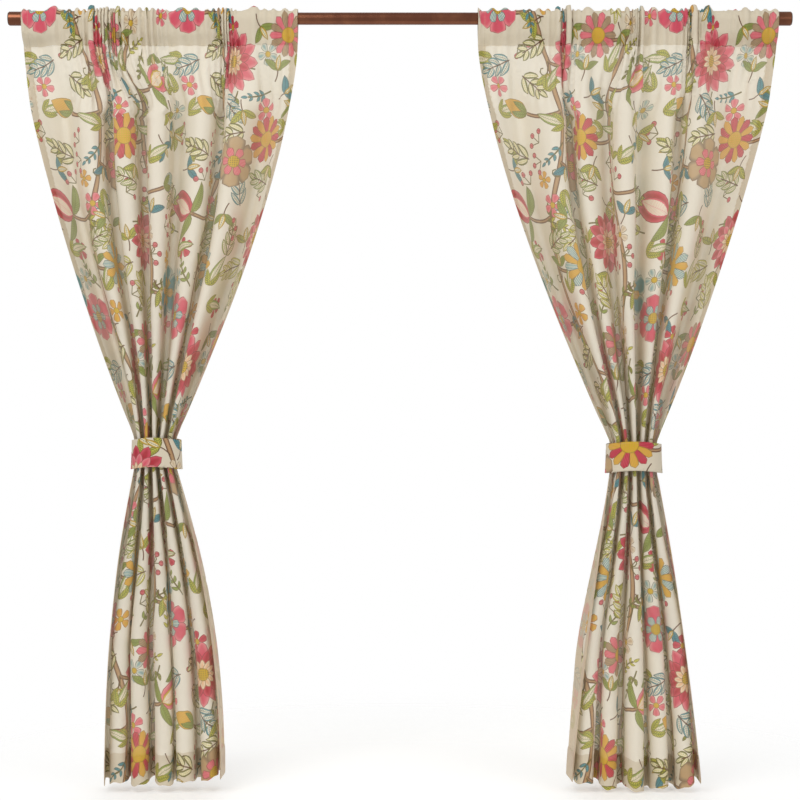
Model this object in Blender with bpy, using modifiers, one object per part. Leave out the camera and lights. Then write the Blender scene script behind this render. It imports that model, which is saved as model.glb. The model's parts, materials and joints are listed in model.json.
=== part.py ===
"""Window curtains on a spring tension rod: two tied-back rod-pocket panels, gathered on a telescoping tube.

Metres. +X runs along the rod to the right as seen from the room, the room is towards -Y, +Z is up.
The origin is the centre of the left foot's wall face, on the rod's axis.
"""

import math
from dataclasses import dataclass

import bmesh
import bpy
from mathutils import Vector

GAP = 0.0003  # between pieces that touch
RUNNING_GAP = 0.0003  # radial, between pieces that slide or turn in each other

# Rod
ROD_LENGTH = 1.620  # foot face to foot face, as hung
OUTER_TUBE_DIAMETER = 0.0254
OUTER_TUBE_WALL = 0.0010
OUTER_TUBE_LENGTH = 0.995
BUSHING_WALL = 0.0011  # between the two tubes
INNER_TUBE_DIAMETER = OUTER_TUBE_DIAMETER - 2 * (OUTER_TUBE_WALL + GAP + BUSHING_WALL + RUNNING_GAP)
INNER_TUBE_WALL = 0.0008
INNER_TUBE_LENGTH = 1.055
CAP_WALL = 0.0018
CAP_DIAMETER = OUTER_TUBE_DIAMETER + 2 * CAP_WALL
CAP_LENGTH = 0.0270
CAP_EDGE = 0.0008  # chamfer on the cap's rims
FOOT_WALL = 0.0015  # cap's rim around the foot
FOOT_THICKNESS = 0.0035
FOOT_PROUD = 0.0015  # how far the rubber stands out of the cap
PLUG_LENGTH = 0.020
STUD_DIAMETER = 0.0060
STUD_HEAD_DIAMETER = 0.0100
STUD_HEAD_LENGTH = 0.0025
BUSHING_LENGTH = 0.025
BUSHING_LIP = 0.0030

# Lock and spring inside the tubes
SCREW_DIAMETER = 0.0080
SCREW_COLLAR_DIAMETER = 0.0140
SCREW_COLLAR_LENGTH = 0.0020
SCREW_HEAD_CLEAR = 0.0007  # radial, inside the inner tube
SCREW_HEAD_DIAMETER = INNER_TUBE_DIAMETER - 2 * (INNER_TUBE_WALL + SCREW_HEAD_CLEAR)
SCREW_HEAD_LENGTH = 0.0040
SCREW_TAIL = 0.0120  # thread that stands past the cone nut
GUIDE_LENGTH = 0.025
GUIDE_LIP = 0.0030
SPRING_TRAVEL = 0.020  # how far the inner tube gives against the spring
SPRING_TRAVEL_SPARE = 0.0060
SLEEVE_LENGTH = 0.038
SLEEVE_END_WALL = 0.0060
SLEEVE_MOUTH_WALL = 0.0012
CONE_LENGTH = 0.022
CONE_TAPER = 0.0025  # how much narrower the cone's nose is, on the radius
SPRING_LENGTH = 0.110
SPRING_CLEAR = 0.0017  # radial, inside the inner tube
SPRING_DIAMETER = INNER_TUBE_DIAMETER - 2 * (INNER_TUBE_WALL + SPRING_CLEAR)
SPRING_WIRE = 0.0020
SPRING_TURNS = 11
STOP_LENGTH = 0.0120
ROUND_STEPS = 32

# Cloth
CLOTH = 0.0012  # one layer, with its loft
HEM_CLOTH = 0.0022  # a folded hem
PANEL_FLAT_WIDTH = 1.067
POCKET_DEPTH = 0.056  # rod axis to the pocket's seam
POCKET_SEAM_THICKNESS = 0.0060
SIDE_HEM_WIDTH = 0.020
BOTTOM_HEM_HEIGHT = 0.062
FOLD_CORNERS = 24  # four to a fold, from one side edge to the other
GATHER_DEPTH = 0.006  # half depth of the folds where they leave the seam
FOLD_DEPTH = 0.032  # half depth of the free folds
FOLD_START = 0.160  # below the seam, where the folds have their full depth
WAIST_HALF_DEPTH = 0.041
WAIST_OVAL = 0.94  # the side edges' place in the bundle's oval, as a squared share of its half width
BAND_HEIGHT = 0.060
BAND_CLOTH = 0.0020
BAND_OVERLAP_DEGREES = 40.0
BAND_STEPS = 36
PATCH_THICKNESS = 0.0010
PATCH_DEGREES = 26.0
PATCH_HEIGHT = 0.030
SEWN_GAP = 0.0010  # of flat cloth, between a side hem and the face
ROWS_ABOVE_WAIST = 8
ROWS_BELOW_WAIST = 6

COLOURS = {
    "bronze": ((0.42, 0.19, 0.10), 0.30, 1.0),
    "steel": ((0.55, 0.56, 0.58), 0.35, 1.0),
    "rubber": ((0.10, 0.07, 0.06), 0.80, 0.0),
    "plastic": ((0.75, 0.74, 0.70), 0.45, 0.0),
    "cloth": ((0.86, 0.80, 0.66), 0.90, 0.0),
    "fastener": ((0.80, 0.77, 0.68), 0.95, 0.0),
}


@dataclass
class Panel:
    """One curtain: where it hangs on the rod, and its outline as tied back."""

    name: str
    pocket_start: float
    pocket_width: float
    waist_height: float  # the tieback's middle, below the rod's axis
    waist_shift: float  # the waist's middle, from the pocket's middle
    waist_width: float
    hem_drop: float
    hem_shift: float
    hem_width: float
    left_bulge: float  # 1 is a straight edge from the pocket to the waist
    right_bulge: float
    flare: float  # 1 is a straight edge from the waist to the hem
    side_hems: tuple  # what the left and the right side hem are called

    @property
    def middle(self):
        return self.pocket_start + self.pocket_width / 2

    @property
    def waist_top(self):
        return -self.waist_height + BAND_HEIGHT / 2

    @property
    def waist_bottom(self):
        return -self.waist_height - BAND_HEIGHT / 2

    @property
    def waist_x(self):
        return self.middle + self.waist_shift

    @property
    def hem_top(self):
        return -self.hem_drop + BOTTOM_HEM_HEIGHT


def cap_inner_end():
    """How far in from the wall face a cap reaches."""
    return FOOT_PROUD + CAP_LENGTH


LEFT_PANEL = Panel(
    name="left",
    pocket_start=cap_inner_end() + GAP,
    pocket_width=0.570,
    waist_height=0.898,
    waist_shift=-0.009,
    waist_width=0.084,
    hem_drop=1.578,
    hem_shift=0.010,
    hem_width=0.236,
    left_bulge=1.29,
    right_bulge=1.52,
    flare=2.1,
    side_hems=("outer_side_hem", "inner_side_hem"),
)
RIGHT_POCKET_WIDTH = 0.620
RIGHT_PANEL = Panel(
    name="right",
    pocket_start=ROD_LENGTH - cap_inner_end() - GAP - RIGHT_POCKET_WIDTH,
    pocket_width=RIGHT_POCKET_WIDTH,
    waist_height=0.906,
    waist_shift=0.0105,
    waist_width=0.096,
    hem_drop=1.592,
    hem_shift=0.013,
    hem_width=0.262,
    left_bulge=1.42,
    right_bulge=1.24,
    flare=1.2,
    side_hems=("inner_side_hem", "outer_side_hem"),
)


def material(name):
    found = bpy.data.materials.get(name)
    if found:
        return found
    colour, roughness, metallic = COLOURS[name]
    made = bpy.data.materials.new(name)
    made.use_nodes = True
    shader = made.node_tree.nodes["Principled BSDF"]
    shader.inputs["Base Color"].default_value = (*colour, 1.0)
    shader.inputs["Roughness"].default_value = roughness
    shader.inputs["Metallic"].default_value = metallic
    return made


def add_object(collection, name, data, finish):
    made = bpy.data.objects.new(name, data)
    collection.objects.link(made)
    data.materials.append(material(finish))
    return made


def add_turned(collection, name, profile, finish, start=0.0, mirrored=False):
    """A piece turned about the rod's axis. The profile is a closed ring of (along, radius) points."""
    bm = bmesh.new()
    points = [bm.verts.new((radius, 0.0, along)) for along, radius in profile]
    for first, second in zip(points, points[1:] + points[:1]):
        if first.co.x > 0 or second.co.x > 0:
            bm.edges.new((first, second))
    mesh = bpy.data.meshes.new(name)
    bm.to_mesh(mesh)
    bm.free()
    made = add_object(collection, name, mesh, finish)
    screw = made.modifiers.new("Turn", "SCREW")
    screw.steps = ROUND_STEPS
    screw.render_steps = ROUND_STEPS
    screw.use_merge_vertices = True
    screw.merge_threshold = 0.00001
    screw.use_smooth_shade = True
    made.rotation_euler = (0.0, -math.pi / 2 if mirrored else math.pi / 2, 0.0)
    made.location = (start, 0.0, 0.0)
    return made


def tube_profile(length, outer, inner):
    """Closed ring that runs down its outer side, so that the turned faces point out."""
    return [(length, outer), (0.0, outer), (0.0, inner), (length, inner)]


def add_tube(collection, name, start, length, outer, inner, finish):
    return add_turned(collection, name, tube_profile(length, outer, inner), finish, start)


def bush_profile(length, outer, inner, lip, lip_radius):
    """A sleeve from 0 to length, with a lip before 0."""
    return [
        (length, outer),
        (0.0, outer),
        (0.0, lip_radius),
        (-lip, lip_radius),
        (-lip, inner),
        (length, inner),
    ]


def cap_profile(tube_radius):
    """A ferrule from its wall end at 0: a recess for the foot, then a socket for the tube's end."""
    outer = CAP_DIAMETER / 2
    recess = outer - FOOT_WALL
    socket = tube_radius + GAP
    recess_end = FOOT_THICKNESS - FOOT_PROUD + GAP
    return [
        (CAP_LENGTH, outer - CAP_EDGE),
        (CAP_LENGTH - CAP_EDGE, outer),
        (CAP_EDGE, outer),
        (0.0, outer - CAP_EDGE),
        (0.0, recess),
        (recess_end, recess),
        (recess_end, socket),
        (CAP_LENGTH, socket),
    ]


def foot_profile():
    """The rubber disc from its wall face at 0, its stud through the plug, and the stud's snap head."""
    disc = CAP_DIAMETER / 2 - FOOT_WALL - GAP
    stud = STUD_DIAMETER / 2
    head_start = FOOT_THICKNESS + GAP + PLUG_LENGTH + GAP
    return [
        (head_start + STUD_HEAD_LENGTH, 0.0),
        (head_start + STUD_HEAD_LENGTH, stud),
        (head_start, STUD_HEAD_DIAMETER / 2),
        (head_start, stud),
        (FOOT_THICKNESS, stud),
        (FOOT_THICKNESS, disc),
        (0.0, disc),
        (0.0, 0.0),
    ]


def add_rod_end(collection, side, wall_x, tube_radius, tube_bore, mirrored):
    """The ferrule, the plug in the tube's end and the rubber foot of one end."""
    inward = -1.0 if mirrored else 1.0
    cap_start = wall_x + inward * FOOT_PROUD
    plug_start = wall_x + inward * (FOOT_THICKNESS + GAP)
    plug = tube_profile(PLUG_LENGTH, tube_bore - GAP, STUD_DIAMETER / 2 + RUNNING_GAP)
    add_turned(
        collection, f"{side}_end_cap", cap_profile(tube_radius), "bronze", cap_start, mirrored
    )
    add_turned(collection, f"{side}_end_plug", plug, "plastic", plug_start, mirrored)
    add_turned(collection, f"{side}_foot", foot_profile(), "rubber", wall_x, mirrored)


def tube_end_inset():
    """From a wall face to the end of the tube behind it."""
    return FOOT_THICKNESS + GAP


def add_outer_tube(collection):
    outer = OUTER_TUBE_DIAMETER / 2
    bore = outer - OUTER_TUBE_WALL
    start = tube_end_inset()
    mouth = start + OUTER_TUBE_LENGTH
    add_tube(collection, "outer_tube", start, OUTER_TUBE_LENGTH, outer, bore, "bronze")
    bushing = bush_profile(
        BUSHING_LENGTH,
        bore - GAP,
        INNER_TUBE_DIAMETER / 2 + RUNNING_GAP,
        BUSHING_LIP,
        outer,
    )
    add_turned(collection, "guide_bushing", bushing, "plastic", mouth + GAP, mirrored=True)


def inner_tube_start():
    return ROD_LENGTH - tube_end_inset() - INNER_TUBE_LENGTH


def add_inner_tube(collection):
    outer = INNER_TUBE_DIAMETER / 2
    bore = outer - INNER_TUBE_WALL
    start = inner_tube_start()
    add_tube(collection, "inner_tube", start, INNER_TUBE_LENGTH, outer, bore, "steel")
    guide = bush_profile(
        GUIDE_LENGTH, bore - GAP, SCREW_DIAMETER / 2 + RUNNING_GAP, GUIDE_LIP, outer
    )
    add_turned(collection, "screw_guide", guide, "plastic", start - GAP)


def screw_head_start():
    """The spring holds the screw's head against the guide."""
    return inner_tube_start() - GAP + GUIDE_LENGTH + GAP


def sleeve_end():
    """The lock sleeve's right end: the guide's lip stays clear of the screw's collar at full travel."""
    lip_start = inner_tube_start() - GAP - GUIDE_LIP
    return lip_start - SPRING_TRAVEL - SPRING_TRAVEL_SPARE - SCREW_COLLAR_LENGTH - GAP


def sleeve_start():
    return sleeve_end() - SLEEVE_LENGTH


def cone_radius_at(along):
    """The cone nut's radius, counted from the sleeve's mouth inwards."""
    widest = OUTER_TUBE_DIAMETER / 2 - OUTER_TUBE_WALL - GAP - SLEEVE_MOUTH_WALL - GAP
    return widest - CONE_TAPER * along / CONE_LENGTH


def add_lock(collection):
    """The sleeve that grips the outer tube, the cone nut that spreads it, and the screw."""
    bore = OUTER_TUBE_DIAMETER / 2 - OUTER_TUBE_WALL
    hole = SCREW_DIAMETER / 2 + RUNNING_GAP
    seat = SLEEVE_LENGTH - SLEEVE_END_WALL
    sleeve = [
        (SLEEVE_LENGTH, bore - GAP),
        (0.0, bore - GAP),
        (0.0, cone_radius_at(0.0) + GAP),
        (CONE_LENGTH, cone_radius_at(CONE_LENGTH) + GAP),
        (seat, cone_radius_at(CONE_LENGTH) + GAP),
        (seat, hole),
        (SLEEVE_LENGTH, hole),
    ]
    add_turned(collection, "lock_sleeve", sleeve, "plastic", sleeve_start())
    cone = [
        (CONE_LENGTH, cone_radius_at(CONE_LENGTH)),
        (0.0, cone_radius_at(0.0)),
        (0.0, hole),
        (CONE_LENGTH, hole),
    ]
    add_turned(collection, "cone_nut", cone, "plastic", sleeve_start())
    tail = sleeve_start() - SCREW_TAIL
    collar = sleeve_end() + GAP - tail
    head = screw_head_start() - tail
    shaft = SCREW_DIAMETER / 2
    screw = [
        (head + SCREW_HEAD_LENGTH, 0.0),
        (head + SCREW_HEAD_LENGTH, SCREW_HEAD_DIAMETER / 2),
        (head, SCREW_HEAD_DIAMETER / 2),
        (head, shaft),
        (collar + SCREW_COLLAR_LENGTH, shaft),
        (collar + SCREW_COLLAR_LENGTH, SCREW_COLLAR_DIAMETER / 2),
        (collar, SCREW_COLLAR_DIAMETER / 2),
        (collar, shaft),
        (0.0, shaft),
        (0.0, 0.0),
    ]
    add_turned(collection, "lock_screw", screw, "steel", tail)


def spring_start():
    return screw_head_start() + SCREW_HEAD_LENGTH + GAP


def add_spring(collection):
    """The coil between the screw's head and the stop in the inner tube."""
    points_per_turn = 10
    count = SPRING_TURNS * points_per_turn
    curve = bpy.data.curves.new("spring", "CURVE")
    curve.dimensions = "3D"
    curve.bevel_depth = SPRING_WIRE / 2
    curve.bevel_resolution = 2
    curve.use_fill_caps = True
    spline = curve.splines.new("POLY")
    spline.points.add(count)
    radius = (SPRING_DIAMETER - SPRING_WIRE) / 2
    reach = SPRING_LENGTH - SPRING_WIRE
    for index, point in enumerate(spline.points):
        angle = 2 * math.pi * index / points_per_turn
        along = SPRING_WIRE / 2 + reach * index / count
        point.co = (along, radius * math.cos(angle), radius * math.sin(angle), 1.0)
    made = add_object(collection, "spring", curve, "steel")
    made.location = (spring_start(), 0.0, 0.0)
    radius = INNER_TUBE_DIAMETER / 2 - INNER_TUBE_WALL - GAP
    stop = [(STOP_LENGTH, 0.0), (STOP_LENGTH, radius), (0.0, radius), (0.0, 0.0)]
    add_turned(collection, "spring_stop", stop, "plastic", spring_start() + SPRING_LENGTH + GAP)


def mixed(low, high, share):
    return low + (high - low) * share


def eased(value):
    """0 to 1 with no corner at either end."""
    value = min(max(value, 0.0), 1.0)
    return value * value * (3 - 2 * value)


def outline(panel, height):
    """The cloth's left and right edges at a height."""
    seam = -POCKET_DEPTH
    half_pocket = panel.pocket_width / 2
    half_waist = panel.waist_width / 2
    half_hem = panel.hem_width / 2
    hem_x = panel.middle + panel.hem_shift
    if height >= panel.waist_top:
        share = (seam - height) / (seam - panel.waist_top)
        left = mixed(panel.middle - half_pocket, panel.waist_x - half_waist, share**panel.left_bulge)
        right = mixed(
            panel.middle + half_pocket, panel.waist_x + half_waist, share**panel.right_bulge
        )
        return left, right
    share = (panel.waist_bottom - height) / (panel.waist_bottom + panel.hem_drop)
    spread = 1 - (1 - min(max(share, 0.0), 1.0)) ** panel.flare
    left = mixed(panel.waist_x - half_waist, hem_x - half_hem, spread)
    right = mixed(panel.waist_x + half_waist, hem_x + half_hem, spread)
    return left, right


def waist_share(panel, height):
    """1 inside the tieback, falling to 0 away from it."""
    reach_above = panel.waist_top + POCKET_DEPTH
    reach_below = panel.waist_bottom + panel.hem_drop
    if height > panel.waist_top:
        return eased(1 + (height - panel.waist_top) / reach_above)
    if height < panel.waist_bottom:
        return eased(1 - (panel.waist_bottom - height) / reach_below)
    return 1.0


def fold_depth(panel, share, height):
    """Half the folds' depth: shallow at the seam, free below it, and an oval bundle at the waist."""
    free = mixed(GATHER_DEPTH, FOLD_DEPTH, eased((-POCKET_DEPTH - height) / FOLD_START))
    across = 2 * share - 1
    oval = WAIST_HALF_DEPTH * math.sqrt(max(1 - WAIST_OVAL * across * across, 0.0))
    return mixed(free, oval, waist_share(panel, height))


def fold_wave(share):
    """1 on the flat crests and -1 in the flat troughs, with a wall at each side edge."""
    corner = share * (FOLD_CORNERS - 1)
    wave = math.cos(math.pi / 2 * (corner + 0.5)) / math.cos(math.pi / 4)
    return min(max(wave, -1.0), 1.0)


def cloth_point(panel, share, height):
    """The middle of the cloth, at a share of its width and a height."""
    left, right = outline(panel, height)
    front = fold_depth(panel, share, height) * fold_wave(share)
    return Vector((mixed(left, right, share), -front, height))


def add_sheet(collection, name, columns, rows, place, thickness, finish):
    """A sheet of cloth: a grid set out by place(column value, row value), given a thickness."""
    bm = bmesh.new()
    bmesh.ops.create_grid(bm, x_segments=len(columns) - 1, y_segments=len(rows) - 1, size=1.0)
    last_column, last_row = len(columns) - 1, len(rows) - 1
    for vert in bm.verts:
        column = round((vert.co.x + 1) / 2 * last_column)
        row = round((vert.co.y + 1) / 2 * last_row)
        vert.co = place(columns[column], rows[last_row - row])
    bmesh.ops.recalc_face_normals(bm, faces=bm.faces)
    mesh = bpy.data.meshes.new(name)
    bm.to_mesh(mesh)
    bm.free()
    made = add_object(collection, name, mesh, finish)
    solidify = made.modifiers.new("Thickness", "SOLIDIFY")
    solidify.thickness = thickness
    solidify.offset = 0.0
    return made


def spaced(first, last, steps):
    return [mixed(first, last, index / steps) for index in range(steps + 1)]


def fold_shares(low, high):
    """The shares of the width where the folds' corners are, between two limits."""
    corners = [index / (FOLD_CORNERS - 1) for index in range(FOLD_CORNERS)]
    return [low] + [share for share in corners if low < share < high] + [high]


def add_panel_cloth(collection, panel):
    """The face, the two side hems and the bottom hem."""
    hem_share = SIDE_HEM_WIDTH / PANEL_FLAT_WIDTH
    gap_share = SEWN_GAP / PANEL_FLAT_WIDTH
    above = spaced(-POCKET_DEPTH - GAP, panel.waist_top, ROWS_ABOVE_WAIST)
    below = spaced(panel.waist_bottom, panel.hem_top + GAP, ROWS_BELOW_WAIST)
    heights = above + below

    def place(share, height):
        return cloth_point(panel, share, height)

    inner = fold_shares(hem_share + gap_share, 1 - hem_share - gap_share)
    left_hem, right_hem = panel.side_hems
    pieces = {
        "face": (inner, heights, CLOTH),
        left_hem: ([0.0, hem_share], heights, HEM_CLOTH),
        right_hem: ([1 - hem_share, 1.0], heights, HEM_CLOTH),
        "bottom_hem": (fold_shares(0.0, 1.0), [panel.hem_top, -panel.hem_drop], HEM_CLOTH),
    }
    for part, (shares, rows, thickness) in pieces.items():
        add_sheet(collection, f"{panel.name}_{part}", shares, rows, place, thickness, "cloth")


def pocket_outline():
    """The rod pocket's section, a closed ring of (y, z): over the rod, then down to the seam."""
    radius = OUTER_TUBE_DIAMETER / 2 + RUNNING_GAP + CLOTH / 2
    foot = -POCKET_DEPTH + CLOTH / 2
    half_seam = POCKET_SEAM_THICKNESS / 2
    arc = [math.radians(angle) for angle in range(-10, 191, 20)]
    over = [(radius * math.cos(angle), radius * math.sin(angle)) for angle in arc]
    return over + [(-half_seam, foot), (half_seam, foot)]


def add_rod_pocket(collection, panel):
    """The sleeve of cloth that is gathered on the rod."""
    section = pocket_outline()
    bm = bmesh.new()
    ring = [bm.verts.new((panel.pocket_start, y, z)) for y, z in section]
    edges = [bm.edges.new(pair) for pair in zip(ring, ring[1:] + ring[:1])]
    steps = 4
    for _ in range(steps):
        made = bmesh.ops.extrude_edge_only(bm, edges=edges)["geom"]
        verts = [item for item in made if isinstance(item, bmesh.types.BMVert)]
        edges = [item for item in made if isinstance(item, bmesh.types.BMEdge)]
        edges = [edge for edge in edges if all(vert in verts for vert in edge.verts)]
        bmesh.ops.translate(bm, verts=verts, vec=(panel.pocket_width / steps, 0.0, 0.0))
    bmesh.ops.recalc_face_normals(bm, faces=bm.faces)
    mesh = bpy.data.meshes.new("pocket")
    bm.to_mesh(mesh)
    bm.free()
    made = add_object(collection, f"{panel.name}_rod_pocket", mesh, "cloth")
    solidify = made.modifiers.new("Thickness", "SOLIDIFY")
    solidify.thickness = CLOTH
    solidify.offset = 0.0


def band_point(panel, angle, lift, height):
    """On the tieback's oval: an angle from the front, lifted off the bundle, at a height from its middle."""
    clear = GAP + CLOTH / 2 + BAND_CLOTH / 2 + GAP
    bundle = panel.waist_width / 2 / math.sqrt(WAIST_OVAL)
    half_width = bundle + HEM_CLOTH / 2 + clear + lift
    half_depth = WAIST_HALF_DEPTH + clear + lift
    return Vector(
        (
            panel.waist_x + half_width * math.sin(angle),
            -half_depth * math.cos(angle),
            height - panel.waist_height,
        )
    )


def add_tieback(collection, panel):
    """The band, whose far end laps over its near end behind the panel, and the fastener between them."""
    overlap = math.radians(BAND_OVERLAP_DEGREES)
    first = math.pi - overlap / 2
    last = first + 2 * math.pi + overlap
    lap = BAND_CLOTH + 2 * PATCH_THICKNESS + 3 * GAP

    def band(angle, height):
        rise = eased((angle - first - math.pi) / (math.pi - overlap / 2))
        return band_point(panel, angle, lap * rise, height)

    heights = [BAND_HEIGHT / 2, -BAND_HEIGHT / 2]
    angles = spaced(first, last, BAND_STEPS)
    add_sheet(
        collection, f"{panel.name}_tieback", angles, heights, band, BAND_CLOTH, "cloth"
    )
    half_patch = math.radians(PATCH_DEGREES) / 2
    patch_angles = spaced(math.pi - half_patch, math.pi + half_patch, 4)
    patch_heights = [PATCH_HEIGHT / 2, -PATCH_HEIGHT / 2]
    loop_lift = BAND_CLOTH / 2 + GAP + PATCH_THICKNESS / 2
    lifts = {"loop_patch": loop_lift, "hook_patch": loop_lift + PATCH_THICKNESS + GAP}
    for part, lift in lifts.items():

        def patch(angle, height, lift=lift):
            return band_point(panel, angle, lift, height)

        add_sheet(
            collection,
            f"{panel.name}_{part}",
            patch_angles,
            patch_heights,
            patch,
            PATCH_THICKNESS,
            "fastener",
        )


def main():
    for old in list(bpy.data.objects):
        bpy.data.objects.remove(old, do_unlink=True)
    collection = bpy.data.collections.new("window_curtains")
    bpy.context.scene.collection.children.link(collection)
    outer_radius = OUTER_TUBE_DIAMETER / 2
    inner_radius = INNER_TUBE_DIAMETER / 2
    add_outer_tube(collection)
    add_inner_tube(collection)
    add_rod_end(collection, "left", 0.0, outer_radius, outer_radius - OUTER_TUBE_WALL, False)
    add_rod_end(
        collection, "right", ROD_LENGTH, inner_radius, inner_radius - INNER_TUBE_WALL, True
    )
    add_lock(collection)
    add_spring(collection)
    for panel in (LEFT_PANEL, RIGHT_PANEL):
        add_rod_pocket(collection, panel)
        add_panel_cloth(collection, panel)
        add_tieback(collection, panel)


if __name__ == "__main__":
    main()
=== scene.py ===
"""Looks of the tied-back window curtains on a spring tension rod: printed cotton, bronze rod, pale studio."""

import json
import math

import bmesh
import bpy
import numpy as np
from bpy.props import FloatProperty, FloatVectorProperty, PointerProperty
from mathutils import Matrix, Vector
from mathutils.geometry import delaunay_2d_cdt


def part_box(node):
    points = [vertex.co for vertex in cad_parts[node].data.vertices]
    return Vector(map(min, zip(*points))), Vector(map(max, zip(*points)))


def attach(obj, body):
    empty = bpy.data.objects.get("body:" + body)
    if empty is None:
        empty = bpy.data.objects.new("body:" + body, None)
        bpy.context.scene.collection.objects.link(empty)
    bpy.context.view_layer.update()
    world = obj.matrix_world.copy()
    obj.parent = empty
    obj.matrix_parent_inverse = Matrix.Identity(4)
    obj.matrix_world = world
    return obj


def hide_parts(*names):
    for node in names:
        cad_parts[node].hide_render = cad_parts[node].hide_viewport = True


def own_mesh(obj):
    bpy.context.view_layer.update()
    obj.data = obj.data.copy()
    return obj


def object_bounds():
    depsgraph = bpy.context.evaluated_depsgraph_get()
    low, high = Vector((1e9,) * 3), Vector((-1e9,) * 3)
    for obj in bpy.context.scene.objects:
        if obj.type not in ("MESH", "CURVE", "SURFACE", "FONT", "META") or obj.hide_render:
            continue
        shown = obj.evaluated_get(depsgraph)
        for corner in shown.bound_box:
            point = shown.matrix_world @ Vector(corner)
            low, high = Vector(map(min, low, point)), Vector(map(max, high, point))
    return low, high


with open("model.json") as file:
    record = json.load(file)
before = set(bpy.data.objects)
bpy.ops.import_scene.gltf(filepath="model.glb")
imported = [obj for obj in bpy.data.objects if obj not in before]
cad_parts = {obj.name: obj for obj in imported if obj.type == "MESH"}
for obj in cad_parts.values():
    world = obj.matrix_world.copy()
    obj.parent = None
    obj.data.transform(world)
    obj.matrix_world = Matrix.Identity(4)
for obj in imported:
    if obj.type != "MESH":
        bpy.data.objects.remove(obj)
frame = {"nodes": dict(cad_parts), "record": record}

bl_info = {
    "name": "Curtains on a Tension Rod",
    "version": (1, 0, 0),
    "blender": (4, 2, 0),
    "location": "View3D > Sidebar > Curtains",
    "description": "Builds two printed, tied-back curtains, their rod and a studio",
    "category": "Object",
}

CAD_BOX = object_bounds()
MM = 0.001
TAU = 2 * math.pi
WEAVE_PITCH = 0.9 * MM
POCKET_EASE = 0.0012  # the least room between the rod and the pocket round it
FLOOR_GAP = 0.004  # the floor below the hems
LOOK_AT = (0.810, 0.0, -0.789)  # the middle of the curtains
SMALL_THINGS, TRIES = 110, 6000  # scattered between the flowers, and how often a place is sought

# How each panel folds, from its left edge: each stretch of cloth between two creases, in mm of flat
# cloth, and how steeply it turns away from the wall under the seam, in degrees.
FOLDS = {
    "left": [
        (84, 11), (82, 14), (94, 76), (98, 79), (86, 80), (92, 76), (96, 79), (82, 15),
        (98, 78), (90, 77), (84, 13), (81, 10),
    ],
    "right": [
        (88, 10), (94, 13), (92, 76), (98, 79), (58, 14), (94, 79), (96, 77), (58, 13),
        (96, 77), (98, 79), (92, 13), (88, 9),
    ],
}  # fmt: skip

PLAIN, DOTS, CHEVRON, RIBS, GLOW, VEINED = range(6)


def linear(red, green, blue):
    """A colour given as it looks, on 0 to 255, as the light it stands for."""
    return tuple(((c / 255 + 0.055) / 1.055) ** 2.4 if c > 10 else c / 255 / 12.92 for c in (red, green, blue))


def colour(name, description, red, green, blue):
    return FloatVectorProperty(
        name=name, description=description, default=linear(red, green, blue), subtype="COLOR", min=0, max=1
    )


def length(name, description, default):
    return FloatProperty(name=name, description=description, default=default, unit="LENGTH")


def number(name, description, default):
    return FloatProperty(name=name, description=description, default=default)


class ClothSettings(bpy.types.PropertyGroup):
    """Sizes and colours of the cloth itself."""

    flat_width: length("Flat Width", "Width of one panel before it is gathered", 1.067)
    pocket_depth: length("Pocket Depth", "Rod's axis to the pocket's seam", 0.056)
    side_hem: length("Side Hem", "Width of the turned-back side hems", 0.020)
    bottom_hem: length("Bottom Hem", "Height of the turned-up bottom hem", 0.062)
    layer_gap: length("Layer Gap", "Space between a hem's two layers", 0.0013)
    fold_depth: length("Fold Depth", "Most that a fold stands out of the panel's middle", 0.052)
    ground: colour("Ground", "Unprinted cloth, one layer", 240, 232, 215)
    # Painted shade: the ground made darker where two layers lie together, for the light from behind that comes
    # through two layers less.
    doubled: colour("Doubled Ground", "Unprinted cloth where two layers lie together", 228, 217, 195)
    reverse: colour("Reverse", "The cloth's unprinted side", 222, 204, 178)
    thread: colour("Sewing Thread", "Stitches along the hems", 196, 180, 150)


class PrintColours(bpy.types.PropertyGroup):
    """Colours of the print."""

    crimson: colour("Crimson", "Deep petals", 182, 26, 54)
    pink: colour("Pink", "Large petals", 222, 82, 106)
    blush: colour("Blush", "Petal tips", 240, 150, 154)
    teal: colour("Teal", "Leaves and petals", 76, 152, 160)
    deep_teal: colour("Deep Teal", "Leaf shading", 40, 100, 114)
    mustard: colour("Mustard", "Petals and centres", 214, 176, 40)
    lime: colour("Lime", "Sprays of leaves", 200, 196, 78)
    olive: colour("Olive", "Stems and veins", 118, 126, 50)
    leaf: colour("Leaf Green", "Leaves", 150, 166, 84)
    vine: colour("Vine", "Thick stems", 182, 138, 98)
    bark: colour("Bark", "Outlines", 96, 56, 34)
    blossom: colour("Blossom", "Beige flowers", 196, 164, 122)
    ash: colour("Ash", "Grey-brown shading", 122, 106, 94)
    orange: colour("Orange", "Small centres", 236, 164, 92)
    cream: colour("Cream", "Pale petals", 246, 234, 208)


def panel_sizes(values):
    """The sizes that set one panel's outline, as Blender properties."""
    told = {
        "pocket_start": ("Pocket Start", "Where the pocket starts along the rod", length),
        "pocket_width": ("Pocket Width", "Gathered width on the rod", length),
        "waist_height": ("Waist Height", "Tieback's middle below the rod's axis", length),
        "waist_shift": ("Waist Shift", "Waist's middle from the pocket's middle", length),
        "waist_width": ("Waist Width", "Width in the tieback", length),
        "hem_drop": ("Hem Drop", "Hem below the rod's axis", length),
        "hem_shift": ("Hem Shift", "Hem's middle from the pocket's middle", length),
        "hem_width": ("Hem Width", "Width at the hem", length),
        "left_bulge": ("Left Bulge", "1 is a straight left edge", number),
        "right_bulge": ("Right Bulge", "1 is a straight right edge", number),
        "flare": ("Flare", "1 is a straight edge below the waist", number),
    }
    return {key: make(label, text, value) for (key, (label, text, make)), value in zip(told.items(), values)}


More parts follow.
